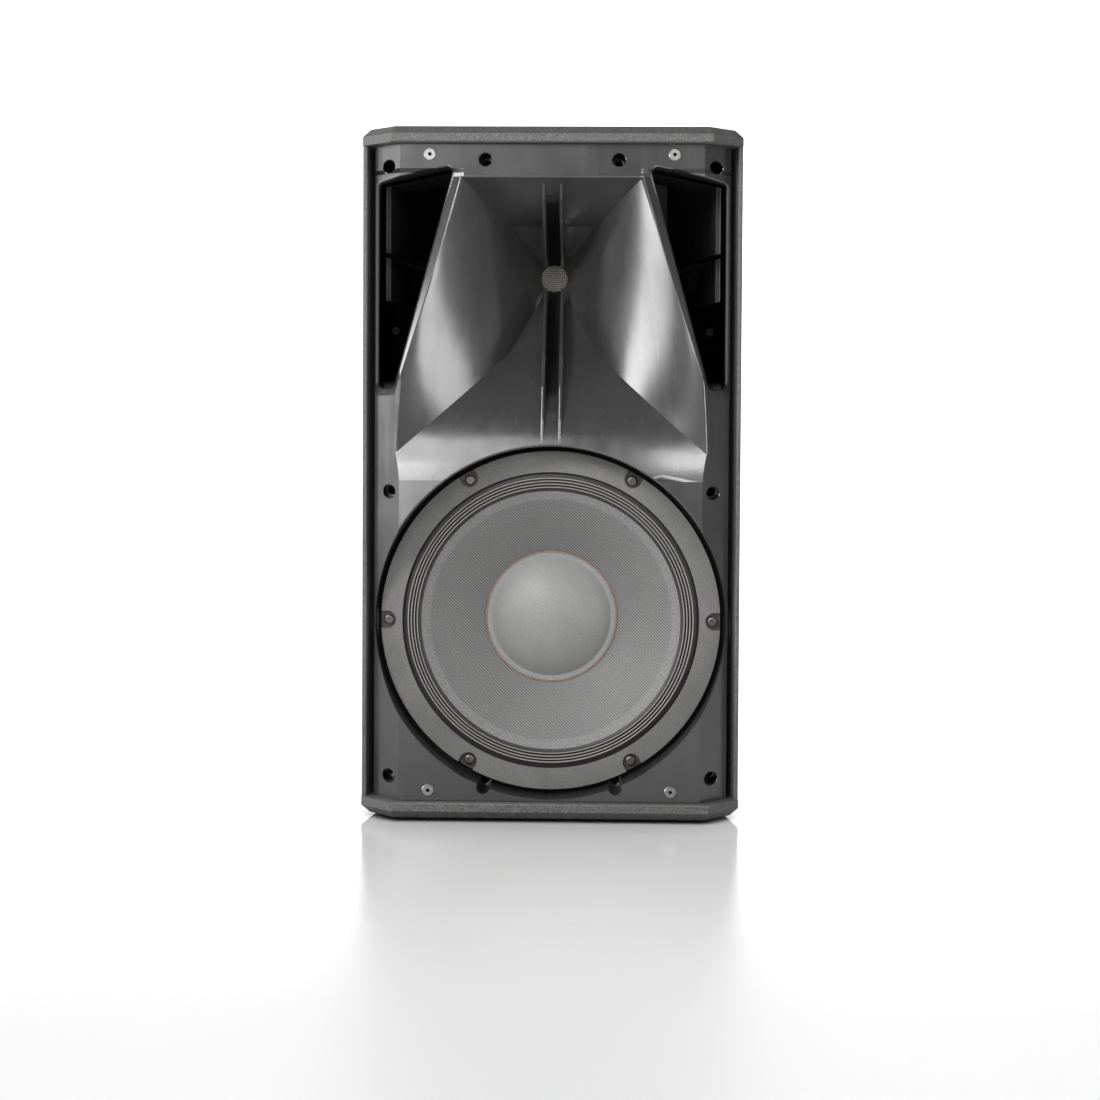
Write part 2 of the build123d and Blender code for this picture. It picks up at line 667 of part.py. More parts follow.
def hf_dome():
    """Diaphragm with its voice coil former."""
    rise, base = 6.5, 22.6
    ball = (base**2 + rise**2) / (2 * rise)
    seat = HF_T + 34.8
    curve = [(0, seat + rise)]
    for k in range(1, 11):
        r = base * k / 10
        curve.append((r, seat + rise - ball + math.sqrt(ball**2 - r**2)))
    dome = turned(curve + [(r, t + 0.3) for r, t in reversed(curve)], THROAT_Z)
    return dome + hf_ring(22.35, 22.65, HF_T + 27, HF_T + 35) + hf_ring(22.6, 22.9, HF_T + 27, HF_T + 31)


def hf_surround():
    curve = [(22.7, HF_T + 34.6), (24.5, HF_T + 34.2), (26.5, HF_T + 34.2), (29, HF_T + 34)]
    return turned(curve + [(r, t + 0.3) for r, t in reversed(curve)], THROAT_Z)


def hf_rear_cover():
    cover = rod(47, HF_T + 34, HF_T + 54, 0, THROAT_Z)
    cover = fillet(cover.edges().sort_by(Axis.Y)[-1], 4)
    return cover - rod(44, HF_T + 30, HF_T + 51, 0, THROAT_Z)


def hf_bolts():
    made = []
    for x in (-38.1, 38.1):
        head = rod(5, THROAT_T - 14, THROAT_T - 8, x, THROAT_Z)
        head -= prism_hex(2.9, THROAT_T - 15, THROAT_T - 11, x, THROAT_Z)
        made.append(head + rod(2.9, THROAT_T - 8, HF_T + 7, x, THROAT_Z))
    return made


def prism_hex(r, t0, t1, x, z):
    return Pos(x, t1, z) * (Rot(90, 0, 0) * extrude(RegularPolygon(r, 6), t1 - t0, dir=(0, 0, 1)))


# ---- fittings --------------------------------------------------------------------------------------
def on_side(t, z):
    """Location on the right side panel's outer face: local X points outwards, local Y to the rear."""
    return Location((outer_x(t), t, z), (0, 0, 8))


def rounded_block(dx, dy, dz, r):
    face = Plane.YZ * RectangleRounded(dy, dz, r)
    return extrude(face, dx / 2, both=True)


def handle():
    """Right-hand handle: a moulded cup with a grip bar."""
    plate = Pos(1.25, 0, 0) * rounded_block(2.5, HANDLE_Y + 34, HANDLE_H + 20, 12)
    cup = Pos(-HANDLE_D / 2, 0, 0) * rounded_block(HANDLE_D, HANDLE_Y, HANDLE_H, 13)
    hollow = Pos(-HANDLE_D / 2 + 3, 0, 0) * rounded_block(HANDLE_D + 3, HANDLE_Y - 6, HANDLE_H - 6, 10)
    bar = Pos(-12, 0, 24) * (Rot(90, 0, 0) * Cylinder(9, HANDLE_Y - 2))
    holes = [Pos(0, y, z) * (Rot(0, 90, 0) * Cylinder(2.3, 14)) for y, z in HANDLE_SCREWS]
    return on_side(HANDLE_T, HANDLE_Z) * (plate + cup - hollow + bar - holes)


def handle_screws():
    """Screws of the right-hand handle."""
    made = []
    for y, z in HANDLE_SCREWS:
        head = Pos(3.4, y, z) * (Rot(0, 90, 0) * Cylinder(4.0, 1.8))
        shank = Pos(-5, y, z) * (Rot(0, 90, 0) * Cylinder(1.6, 15))
        cross = [Pos(4.3, y, z) * Box(1.6, 4.4, 0.9), Pos(4.3, y, z) * Box(1.6, 0.9, 4.4)]
        made.append(on_side(HANDLE_T, HANDLE_Z) * (head + shank - cross))
    return made


def pole_socket():
    cup = Pos(0, POLE_T, POLE_DEEP / 2) * Cylinder(POLE_R + 4, POLE_DEEP)
    plate = Pos(0, POLE_T, -1.25) * Cylinder(46, 2.5)
    bore = Pos(0, POLE_T, (POLE_DEEP - 9) / 2) * Cylinder(POLE_R, POLE_DEEP + 3)
    holes = [Pos(x, t, 0) * Cylinder(2.2, 20) for x, t in POLE_SCREWS]
    sinks = [Pos(x, t, -2.0) * Cone(3.95, 2.2, 1.25) for x, t in POLE_SCREWS]
    return cup + plate - bore - holes - sinks


def screws_up(spots, z, head_r, length):
    """Flat head screws driven upwards; the head's underside rests on height z."""
    made = []
    for x, t in spots:
        head = Pos(x, t, z + 0.6) * Cone(head_r, 1.6, 1.2)
        shank = Pos(x, t, z + 1.2 + length / 2) * Cylinder(1.6, length)
        cross = [Pos(x, t, z) * Box(head_r, 0.8, 0.9), Pos(x, t, z) * Box(0.8, head_r, 0.9)]
        made.append(head + shank - cross)
    return made


def feet():
    made = []
    for x, t in FOOT_SPOTS:
        foot = Pos(x, t, -FOOT / 2) * Cylinder(FOOT_R, FOOT)
        foot = fillet(foot.edges().sort_by(Axis.Z)[0], 1.2)
        made.append(foot - Pos(x, t, 0) * Cylinder(1.7, 20) - Pos(x, t, -FOOT) * Cylinder(3.6, 5.6))
    return made


def input_dish():
    """Recessed connection plate, flush with the rear panel."""
    rear = DEPTH
    plate = Pos(0, rear - 1, DISH_Z) * Box(DISH_W + 24, 2, DISH_H + 24)
    cup = Pos(0, rear - DISH_D / 2, DISH_Z) * Box(DISH_W, DISH_D, DISH_H)
    hollow = Pos(0, rear - DISH_D / 2 + 3, DISH_Z) * Box(DISH_W - 6, DISH_D, DISH_H - 6)
    holes = [rod(SOCKET_R + 0.3, rear - 40, rear, x, DISH_Z) for x in (-SOCKET_X, SOCKET_X)]
    holes += [rod(1.7, rear - 40, rear + 1, x, DISH_Z + z) for x, z in DISH_SCREWS]
    holes += [rod(1.3, rear - 40, rear - 15, x, z) for x, z in socket_fix_spots()]
    return plate + cup - hollow - holes


def socket_fix_spots():
    return [(side * SOCKET_X + 12 * a, DISH_Z + 12 * a) for side in (-1, 1) for a in (-1, 1)]


def input_sockets():
    """Two round four-pole loudspeaker sockets with square flanges."""
    made = []
    floor = DEPTH - DISH_D + 3
    for x in (-SOCKET_X, SOCKET_X):
        flange = Pos(x, floor + 1, DISH_Z) * Box(31, 2, 31)
        flange = fillet(flange.edges().filter_by(Axis.Y), 3)
        barrel = rod(SOCKET_R, floor - 24, floor + 5, x, DISH_Z)
        ring = tube(6.2, SOCKET_R - 2, floor - 12, floor + 6, x, DISH_Z)
        key = Pos(x, floor - 2, DISH_Z + SOCKET_R - 2.6) * Box(3, 14, 2.4)
        body = flange + barrel - ring - key
        made.append(body - [rod(1.5, floor - 5, floor + 5, px, pz) for px, pz in socket_fix_spots()])
    return made


def rear_screw(x, z, t, head_r, head_h, shank_r, length):
    """Pan head screw facing the rear; its head rests on depth t."""
    one = screw(x, z, 0, head_r, head_h, shank_r, length)
    return Pos(0, t, 0) * mirror(one, Plane.XZ)


def dish_screws():
    return [rear_screw(x, DISH_Z + z, DEPTH, 3.0, 1.8, 1.4, 11) for x, z in DISH_SCREWS]


def socket_screws():
    return [rear_screw(x, z, DEPTH - DISH_D + 5, 2.4, 1.5, 1.25, 7) for x, z in socket_fix_spots()]


# ---- crossover and wiring ------------------------------------------------------------------------
def crossover_board():
    board = Pos(0, BOARD_T + 0.8, BOARD_Z) * Box(BOARD_W, 1.6, BOARD_H)
    return board - [rod(1.6, BOARD_T - 5, BOARD_T + 5, x, z) for x, z in BOARD_SPOTS]


def board_spacers():
    return [tube(1.6, 4, BOARD_T + 1.6, DEPTH - PLY, x, z) for x, z in BOARD_SPOTS]


def board_screws():
    return [screw(x, z, BOARD_T, 3.0, 1.8, 1.4, 18) for x, z in BOARD_SPOTS]


def inductors():
    """Two air-cored coils on bobbins."""
    made = []
    for x, z, r in [(-52, 345, 22.0), (50, 300, 19.0)]:
        coil = tube(r * 0.42, r - 2, BOARD_T - 20, BOARD_T - 2, x, z)
        ends = [tube(r * 0.34, r, t, t + 2, x, z) for t in (BOARD_T - 22, BOARD_T - 2)]
        made.append(coil + ends)
    return made


def capacitors():
    made = []
    for x, z in [(-5, 350), (25, 350), (-55, 292), (-15, 292)]:
        can = Pos(x, BOARD_T - 9, z) * Cylinder(9, 38)
        made.append(fillet(can.edges().filter_by(GeomType.CIRCLE), 1.5))
    return made


def resistors():
    made = []
    for x, z in [(60, 352), (60, 338)]:
        made.append(Pos(x, BOARD_T - 5, z) * Box(38, 10, 9))
    return made


def lead(points, r=1.3):
    """Insulated wire through the given points, with rounded bends."""
    path = FilletPolyline(*points, radius=5)
    start = Plane(origin=path @ 0, z_dir=path % 0)
    return sweep(start * Circle(r), path=path)


def woofer_leads():
    made = []
    for side in (-1, 1):
        z = WOOFER_Z + 7 * side
        run = [(105.6, 117.5, z), (118, 117.5, z), (118, 250, z), (98, 300, 236)]
        made.append(lead(run + [(66 + 5 * side, BOARD_T - 1.4, 272)]))
    return made


def hf_leads():
    rear = HF_T + 54
    made = []
    for x in (-8, 8):
        run = [(x, rear, THROAT_Z), (x, rear + 24, THROAT_Z), (x, 290, 425), (x, BOARD_T - 1.4, 372)]
        made.append(lead(run))
    return made


def input_leads():
    back = DEPTH - DISH_D - 21
    made = []
    for x in (-SOCKET_X, SOCKET_X):
        run = [(x, back, DISH_Z), (x, back - 16, DISH_Z), (x, back - 16, 240), (x, BOARD_T - 1.4, 267)]
        made.append(lead(run))
    return made


def foam_pads():
    rear = Pos(0, DEPTH - PLY - 10, 487) * Box(200, 20, 190) - rod(26, 300, 340, 0, RIG_REAR_Z)
    low = Pos(0, DEPTH - PLY - 10, 60) * Box(200, 20, 70)
    return [rear, low]


# ---- build -----------------------------------------------------------------------------------------
def build():
    save("front_moulding", finished_front())
    save("front_gasket", front_gasket())
    save("front_frame", front_frame())
    duct = port_duct()
    save("port_duct_right", duct)
    save("port_duct_left", mirrored(duct))
    save("top_panel", top_panel())
    save("bottom_panel", bottom_panel())
    side = side_panel()
    save("side_panel_right", side)
    save("side_panel_left", mirrored(side))
    save("rear_panel", rear_panel())
    save("woofer_gasket", woofer_gasket())
    save("woofer_basket", woofer_basket())
    save("woofer_surround", woofer_surround())
    save("woofer_cone", woofer_cone())
    save("woofer_dust_cap", woofer_cap())
    save("woofer_cap_ring", woofer_cap_ring())
    save("woofer_coil_former", woofer_former())
    save("woofer_coil_winding", woofer_winding())
    save("woofer_spider", woofer_spider())
    save("woofer_top_plate", tube(COIL_R + 1.8, 85, MAGNET_T, 127, 0, WOOFER_Z))
    save("woofer_magnet", tube(50, 90, 127, 147, 0, WOOFER_Z))
    save("woofer_yoke", woofer_yoke())
    save("woofer_terminals", woofer_terminals())
    save("hf_gasket", hf_gasket())
    save("hf_throat_mesh", hf_throat_mesh())
    save("hf_pole_piece", hf_pole_piece())
    save("hf_magnet", hf_ring(30, 50, HF_T + 8, HF_T + 26))
    save("hf_top_plate", hf_ring(23.4, 50, HF_T + 26, HF_T + 34))
    save("hf_phase_plug", hf_phase_plug())
    save("hf_diaphragm", hf_dome())
    save("hf_surround", hf_surround())
    save("hf_clamp_ring", hf_ring(29.2, 42, HF_T + 34, HF_T + 37))
    save("hf_rear_cover", hf_rear_cover())
    save("pole_socket", pole_socket())
    grip = handle()
    save("handle_right", grip)
    save("handle_left", mirrored(grip))
    save("input_dish", input_dish())
    save("crossover_board", crossover_board())
    save_all()


def save_all():
    """Nodes made of several like pieces."""
    screws = handle_screws()
    groups = {
        "woofer_screws": woofer_screws(),
        "baffle_screws": baffle_screws(),
        "grille_inserts": grille_inserts(),
        "rigging_inserts": rigging_inserts(),
        "hf_bolts": hf_bolts(),
        "handle_screws": screws + [mirrored(one) for one in screws],
        "pole_socket_screws": screws_up(POLE_SCREWS, -2.6, 3.8, 12),
        "feet": feet(),
        "foot_screws": screws_up(FOOT_SPOTS, -1.3, 3.4, 11),
        "input_sockets": input_sockets(),
        "input_dish_screws": dish_screws(),
        "input_socket_screws": socket_screws(),
        "board_spacers": board_spacers(),
        "board_screws": board_screws(),
        "inductors": inductors(),
        "capacitors": capacitors(),
        "resistors": resistors(),
        "woofer_leads": woofer_leads(),
        "hf_leads": hf_leads(),
        "input_leads": input_leads(),
        "foam_pads": foam_pads(),
    }
    for name, pieces in groups.items():
        save(name, Compound(children=pieces))


build()
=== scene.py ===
"""Looks of a two-way 12-inch PA loudspeaker cabinet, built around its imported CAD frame.

Metres, +Z up, the front faces -Y. Sizes and places come from the frame's own boxes.
"""
import json
import math

import bpy
import numpy as np
from mathutils import Matrix, Vector


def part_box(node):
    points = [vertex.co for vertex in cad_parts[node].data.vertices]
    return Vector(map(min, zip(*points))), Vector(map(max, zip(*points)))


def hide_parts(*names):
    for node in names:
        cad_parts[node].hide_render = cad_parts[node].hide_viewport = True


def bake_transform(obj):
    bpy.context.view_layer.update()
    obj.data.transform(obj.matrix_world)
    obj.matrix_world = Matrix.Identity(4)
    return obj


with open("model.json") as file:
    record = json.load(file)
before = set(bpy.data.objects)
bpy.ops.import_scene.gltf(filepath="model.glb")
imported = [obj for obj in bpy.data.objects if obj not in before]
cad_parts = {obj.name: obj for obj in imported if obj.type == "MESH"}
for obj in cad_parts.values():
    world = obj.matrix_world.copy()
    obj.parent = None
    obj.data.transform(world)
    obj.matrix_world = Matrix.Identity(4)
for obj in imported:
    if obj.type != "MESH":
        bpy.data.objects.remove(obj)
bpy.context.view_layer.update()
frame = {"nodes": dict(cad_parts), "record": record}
nodes = frame["nodes"]

MM = 0.001

CAMERA_PLACE = (0.0406, -1.975, 0.3726)
CAMERA_YAW, CAMERA_PITCH, CAMERA_ROLL = -0.0227, -0.0341, -0.0055
SENSOR_MM, LENS_MM = 36.0, 65.6
FRAME_SHIFT = -0.064     # lifts the cabinet a little above the frame's middle

PANEL_EDGE = 175.0       # the panels' front edge lies this many mm in front of the origin
RING_TURNS = 180         # steps round each turned cloth ring


def depth(t):
    """Y of a spot t millimetres behind the panels' front edge."""
    return (t - PANEL_EDGE) * MM


# ---- camera ------------------------------------------------------------------------------------
def add_camera():
    """Seen from straight in front, a little to the right."""
    data = bpy.data.cameras.new("camera")
    data.sensor_width = SENSOR_MM
    data.lens = LENS_MM
    data.shift_y = FRAME_SHIFT
    data.clip_end = 50.0
    camera = bpy.data.objects.new("camera", data)
    bpy.context.collection.objects.link(camera)
    turn = Matrix.Rotation(-CAMERA_YAW, 4, "Z")
    turn = turn @ Matrix.Rotation(math.pi / 2 + CAMERA_PITCH, 4, "X")
    turn = turn @ Matrix.Rotation(-CAMERA_ROLL, 4, "Z")
    camera.matrix_world = Matrix.Translation(CAMERA_PLACE) @ turn
    bpy.context.scene.camera = camera


# ---- node graph helpers ------------------------------------------------------------------------
class Graph:
    """Short calls for building one material's nodes."""

    def __init__(self, name):
        self.material = bpy.data.materials.new(name)
        self.material.use_nodes = True
        self.tree = self.material.node_tree
        self.shader = self.tree.nodes["Principled BSDF"]
        self.place = self.node("ShaderNodeTexCoord").outputs["Object"]

    def node(self, kind, **values):
        made = self.tree.nodes.new(kind)
        for key, value in values.items():
            setattr(made, key, value)
        return made

    def link(self, value, socket):
        if isinstance(value, bpy.types.NodeSocket):
            self.tree.links.new(value, socket)
        else:
            socket.default_value = value

    def scaled(self, scale, turn=(0.0, 0.0, 0.0)):
        mapping = self.node("ShaderNodeMapping")
        self.link(self.place, mapping.inputs["Vector"])
        mapping.inputs["Scale"].default_value = scale
        mapping.inputs["Rotation"].default_value = turn
        return mapping.outputs[0]

    def noise(self, scale, detail=4.0, rough=0.55, vector=None):
        made = self.node("ShaderNodeTexNoise")
        self.link(vector if vector is not None else self.place, made.inputs["Vector"])
        made.inputs["Scale"].default_value = scale
        made.inputs["Detail"].default_value = detail
        made.inputs["Roughness"].default_value = rough
        return made.outputs["Fac"]

    def cells(self, scale):
        made = self.node("ShaderNodeTexVoronoi", feature="F1")
        self.link(self.place, made.inputs["Vector"])
        made.inputs["Scale"].default_value = scale
        return made.outputs["Distance"]

    def bands(self, scale, turn, distortion=0.0):
        made = self.node("ShaderNodeTexWave", wave_type="BANDS", bands_direction="X", wave_profile="SIN")
        self.link(self.scaled((1.0, 1.0, 1.0), turn), made.inputs["Vector"])
        made.inputs["Scale"].default_value = scale
        made.inputs["Distortion"].default_value = distortion
        return made.outputs["Fac"]

    def level(self, value, low, high, to_low=0.0, to_high=1.0, smooth=False):
        made = self.node("ShaderNodeMapRange", clamp=True)
        if smooth:
            made.interpolation_type = "SMOOTHSTEP"
        self.link(value, made.inputs["Value"])
        limits = {"From Min": low, "From Max": high, "To Min": to_low, "To Max": to_high}
        for key, number in limits.items():
            self.link(number, made.inputs[key])
        return made.outputs["Result"]

    def math(self, operation, a, b=0.0):
        made = self.node("ShaderNodeMath", operation=operation)
        self.link(a, made.inputs[0])
        self.link(b, made.inputs[1])
        return made.outputs[0]

    def mix(self, share, a, b, kind="MIX"):
        made = self.node("ShaderNodeMix", data_type="RGBA", blend_type=kind)
        self.link(share, made.inputs[0])
        self.link(a, made.inputs[6])
        self.link(b, made.inputs[7])
        return made.outputs[2]

    def axes(self):
        made = self.node("ShaderNodeSeparateXYZ")
        self.link(self.place, made.inputs[0])
        return made.outputs

    def bump(self, height, strength, distance, below=None):
        made = self.node("ShaderNodeBump")
        self.link(height, made.inputs["Height"])
        made.inputs["Strength"].default_value = strength
        made.inputs["Distance"].default_value = distance
        if below is not None:
            self.link(below, made.inputs["Normal"])
        return made.outputs["Normal"]

    def finish(self, color, rough, normal=None, metal=0.0, **sockets):
        self.link(color, self.shader.inputs["Base Color"])
        self.link(rough, self.shader.inputs["Roughness"])
        self.shader.inputs["Metallic"].default_value = metal
        if normal is not None:
            self.link(normal, self.shader.inputs["Normal"])
        for key, value in sockets.items():
            self.shader.inputs[key.replace("_", " ")].default_value = value
        return self.material


def grey(value, warm=0.0):
    """A grey, made slightly warmer or cooler."""
    return (value * (1 + warm), value, value * (1 - warm), 1.0)


# ---- materials ---------------------------------------------------------------------------------
def recess_shade_and_lip(g, woofer):
    """How much painted shade a spot gets in a recess, and the height of the rounded lip beside the horn's
    mouth.

    The recesses are the port windows, the gap between the fins and the wall round the woofer; the gap and
    the wall get 0.85 of the full painted shade.
    """
    x, y, z = g.axes()
    aside = g.math("ABSOLUTE", x)
    mouth = g.level(z, 0.283, 0.583, 0.1749, 0.0795)
    beyond = g.math("SUBTRACT", aside, mouth)
    above = g.level(z, 0.386, 0.4)
    beside = g.math("MULTIPLY", above, g.level(z, 0.5865, 0.5905, 1.0, 0.0))
    lip = g.math("MULTIPLY", g.level(beyond, 0.0, 0.009, 0.0, -0.0055), beside)
    window = g.math("MULTIPLY", g.level(beyond, 0.002, 0.004), g.level(y, depth(25), depth(37)))
    window = g.math("MULTIPLY", window, above)
    between = g.level(aside, 0.0052, 0.0062, 1.0, 0.0)
    gap = g.math("MULTIPLY", between, g.level(y, depth(25), depth(40)))
    within = g.level(radius_from(g, woofer), 0.1603, 0.1609, 1.0, 0.0)
    wall = g.math("MULTIPLY", within, g.level(y, depth(10), depth(15)))
    # painted shade, a little weaker, in the gap between the fins and on the wall round the woofer
    fin_and_wall_shade = g.math("MULTIPLY", g.math("MAXIMUM", wall, gap), 0.85)
    return g.math("MAXIMUM", window, fin_and_wall_shade), lip


def moulded_plastic(name, woofer, dark=0.018, light=0.033, low=0.16, high=0.27):
    """Satin black moulding, with soft clouding and faint rubbed streaks running down and across, and
    painted shade in its recesses: near-black and without reflection.
    """
    g = Graph(name)
    cloud = g.noise(7.0, 4.0, 0.55)
    patch = g.noise(34.0, 5.0, 0.6)
    streak = g.noise(70.0, 3.0, 0.6, g.scaled((1.0, 1.0, 0.07), (0.0, 0.62, 0.0)))
    scuff = g.noise(150.0, 3.0, 0.7, g.scaled((1.0, 1.0, 0.05), (0.0, -0.4, 0.0)))
    color = g.mix(g.level(cloud, 0.3, 0.7), grey(dark), grey(light, 0.01))
    color = g.mix(g.level(scuff, 0.6, 0.8, 0.0, 0.3), color, grey(light * 2.2, 0.02))
    worn = g.math("ADD", g.math("MULTIPLY", cloud, 0.4), g.math("MULTIPLY", patch, 0.25))
    worn = g.math("ADD", worn, g.math("MULTIPLY", streak, 0.35))
    rough = g.level(worn, 0.35, 0.65, low, high)
    painted_shade, lip = recess_shade_and_lip(g, woofer)
    # painted shade: the recesses turn near-black and rough
    color = g.mix(painted_shade, color, grey(0.0015))
    rough = g.math("MAXIMUM", rough, g.level(painted_shade, 0.0, 1.0, 0.0, 0.9))
    normal = g.bump(streak, 0.06, 0.0003)
    normal = g.bump(g.noise(260.0, 3.0, 0.6), 0.01, 0.0001, normal)
    normal = g.bump(lip, 1.0, 1.0, normal)
    # painted shade: metallic over the black base colour, so the recesses show no reflection
    g.link(painted_shade, g.shader.inputs["Metallic"])
    return g.finish(color, rough, normal, Specular_IOR_Level=1.0)


def textured_paint(name, dark=0.032, light=0.12):
    """Hard-wearing speckled cabinet paint."""
    g = Graph(name)
    grain = g.noise(900.0, 3.0, 0.65)
    pimple = g.cells(620.0)
    patch = g.noise(14.0, 4.0, 0.6)
    rub = g.noise(46.0, 6.0, 0.7)
    color = g.mix(g.level(grain, 0.42, 0.66), grey(dark), grey(light, 0.015))
    color = g.mix(g.level(patch, 0.35, 0.75, 0.0, 0.35), color, grey(dark * 1.6, 0.02))
    color = g.mix(g.level(rub, 0.62, 0.78, 0.0, 0.3), color, grey(light * 1.7, 0.03))
    rough = g.level(grain, 0.3, 0.7, 0.42, 0.68)
    normal = g.bump(grain, 0.5, 0.00035)
    normal = g.bump(g.level(pimple, 0.0, 0.6, 1.0, 0.0), 0.35, 0.0003, normal)
    return g.finish(color, rough, normal)


def grained(name, dark, light, scale=1100.0, rough=(0.6, 0.85), bump=0.4, warm=0.0):
    """Matt fine-grained surface: gaskets, rubber, moulded fittings."""
    g = Graph(name)
    grain = g.noise(scale, 3.0, 0.7)
    patch = g.noise(22.0, 5.0, 0.6)
    color = g.mix(g.level(grain, 0.35, 0.7), grey(dark, warm), grey(light, warm))
    color = g.mix(g.level(patch, 0.4, 0.75, 0.0, 0.45), color, grey((dark + light) * 0.35, warm))
    both = g.math("ADD", g.math("MULTIPLY", grain, 0.4), g.math("MULTIPLY", patch, 0.6))
    return g.finish(color, g.level(both, 0.35, 0.65, *rough), g.bump(grain, bump, 0.0002))


def metal(name, color, worn, rough=(0.25, 0.5), scale=240.0, level=1.0):
    """Plated or bare metal with tarnish and tiny scratches."""
    g = Graph(name)
    tarnish = g.noise(scale, 5.0, 0.7)
    scratch = g.noise(1500.0, 2.0, 0.5, g.scaled((0.12, 1.0, 1.0), (0.0, 0.6, 0.3)))
    tint = g.mix(g.level(tarnish, 0.45, 0.72), color, worn)
    shine = g.level(tarnish, 0.3, 0.7, *rough)
    return g.finish(tint, shine, g.bump(scratch, 0.15, 0.00005), metal=level)


def screw_steel(name):
    """Blackened screws, worn at the woofer's rim; those down in the moulding's tubes get painted shade,
    near-black and rough.
    """
    g = Graph(name)
    tarnish = g.noise(500.0, 5.0, 0.7)
    scratch = g.noise(1500.0, 2.0, 0.5, g.scaled((0.12, 1.0, 1.0), (0.0, 0.6, 0.3)))
    _, y, _ = g.axes()
    # painted shade on the screws sunk in the moulding's tubes
    sunk_shade = g.level(y, depth(42.5), depth(44.5))
    tint = g.mix(g.level(tarnish, 0.45, 0.72), (0.1, 0.098, 0.095, 1.0), (0.2, 0.18, 0.16, 1.0))
    tint = g.mix(sunk_shade, tint, (0.006, 0.006, 0.006, 1.0))
    shine = g.math("MAXIMUM", g.level(tarnish, 0.3, 0.7, 0.25, 0.5), g.math("MULTIPLY", sunk_shade, 0.7))
    return g.finish(tint, shine, g.bump(scratch, 0.15, 0.00005), metal=0.9)


def wood_ply(name):
    """Bare birch plywood: layers across, grain along."""
    g = Graph(name)
    layers = g.bands(210.0, (0.0, 0.0, math.pi / 2), 1.2)
    grain = g.noise(38.0, 6.0, 0.65, g.scaled((1.0, 1.0, 0.08)))
    color = g.mix(layers, (0.42, 0.29, 0.16, 1.0), (0.62, 0.46, 0.28, 1.0))
    color = g.mix(g.level(grain, 0.4, 0.7, 0.0, 0.6), color, (0.33, 0.21, 0.11, 1.0))
    return g.finish(color, g.level(grain, 0.3, 0.7, 0.55, 0.8), g.bump(grain, 0.3, 0.0003))


def radius_from(g, center):
    """Distance in the XZ plane from the woofer's axis."""
    x, _, z = g.axes()
    dx = g.math("SUBTRACT", x, center.x)
    dz = g.math("SUBTRACT", z, center.z)
    return g.math("SQRT", g.math("ADD", g.math("MULTIPLY", dx, dx), g.math("MULTIPLY", dz, dz)))


def cone_paper(name, center):
    """Pressed cone with a diagonal weave and a rough glue band at its rim."""
    g = Graph(name)
    weave = g.bands(150.0, (0.0, math.radians(45), 0.0), 0.3)
    cross = g.bands(240.0, (0.0, math.radians(-45), 0.0), 0.3)
    fibre = g.noise(700.0, 4.0, 0.7)
    patch = g.noise(12.0, 5.0, 0.6)
    away = radius_from(g, center)
    glue = g.level(away, 0.1105, 0.1122, smooth=True)
    thread = g.math("ADD", g.math("MULTIPLY", weave, 0.7), g.math("MULTIPLY", cross, 0.3))
    color = g.mix(g.level(thread, 0.2, 0.8), grey(0.055), grey(0.145, 0.01))
    color = g.mix(g.level(fibre, 0.5, 0.75, 0.0, 0.6), color, grey(0.22, 0.02))
    color = g.mix(g.level(patch, 0.35, 0.7, 0.0, 0.3), color, grey(0.075))
    blot = g.cells(1000.0)
    color = g.mix(glue, color, g.mix(g.level(blot, 0.1, 0.7), grey(0.19, 0.02), grey(0.1)))
    rough = g.level(fibre, 0.3, 0.7, 0.55, 0.8)
    woven = g.math("MULTIPLY", thread, g.math("SUBTRACT", 1.0, glue))
    lumps = g.math("MULTIPLY", g.math("MULTIPLY", blot, glue), 2.5)
    normal = g.bump(g.math("ADD", woven, lumps), 0.35, 0.00022)
    normal = g.bump(fibre, 0.3, 0.00012, normal)
    return g.finish(color, rough, normal, Sheen_Weight=0.15)


def around(g, center, count):
    """Wave that runs count times round the woofer's axis."""
    x, _, z = g.axes()
    angle = g.math("ARCTAN2", g.math("SUBTRACT", z, center.z), g.math("SUBTRACT", x, center.x))
    return g.math("SINE", g.math("MULTIPLY", angle, float(count)))


def coated_cloth(name, center, front, back):
    """Surround cloth: painted shade in the valleys and a painted highlight on the crests, stronger along
    the threads lying round and across the rolls.
    """
    g = Graph(name)
    _, y, _ = g.axes()
    # painted light by depth: front crests get a painted highlight, the valleys behind get painted shade
    lit_crest = g.level(y, front, back, 1.0, 0.0)
    across = g.level(around(g, center, 460), -1.0, 1.0)
    away = radius_from(g, center)
    along = g.level(g.math("SINE", g.math("MULTIPLY", away, 9500.0)), -1.0, 1.0)
    thread = g.math("MULTIPLY", across, along)
    grain = g.noise(1300.0, 3.0, 0.7)
    color = g.mix(g.math("POWER", lit_crest, 2.6), grey(0.009, 0.03), (0.3, 0.285, 0.26, 1.0))
    # more painted highlight where the threads cross the crests
    thread_highlight = g.math("MULTIPLY", lit_crest, g.level(thread, 0.2, 0.8, 0.0, 0.5))
    color = g.mix(thread_highlight, color, (0.3, 0.285, 0.26, 1.0))
    color = g.mix(g.level(grain, 0.5, 0.75, 0.0, 0.5), color, grey(0.035, 0.05))
    rough = g.level(grain, 0.3, 0.7, 0.34, 0.55)
    normal = g.bump(thread, 0.4, 0.00025)
    normal = g.bump(grain, 0.3, 0.00015, normal)
    return g.finish(color, rough, normal, Sheen_Weight=0.1)


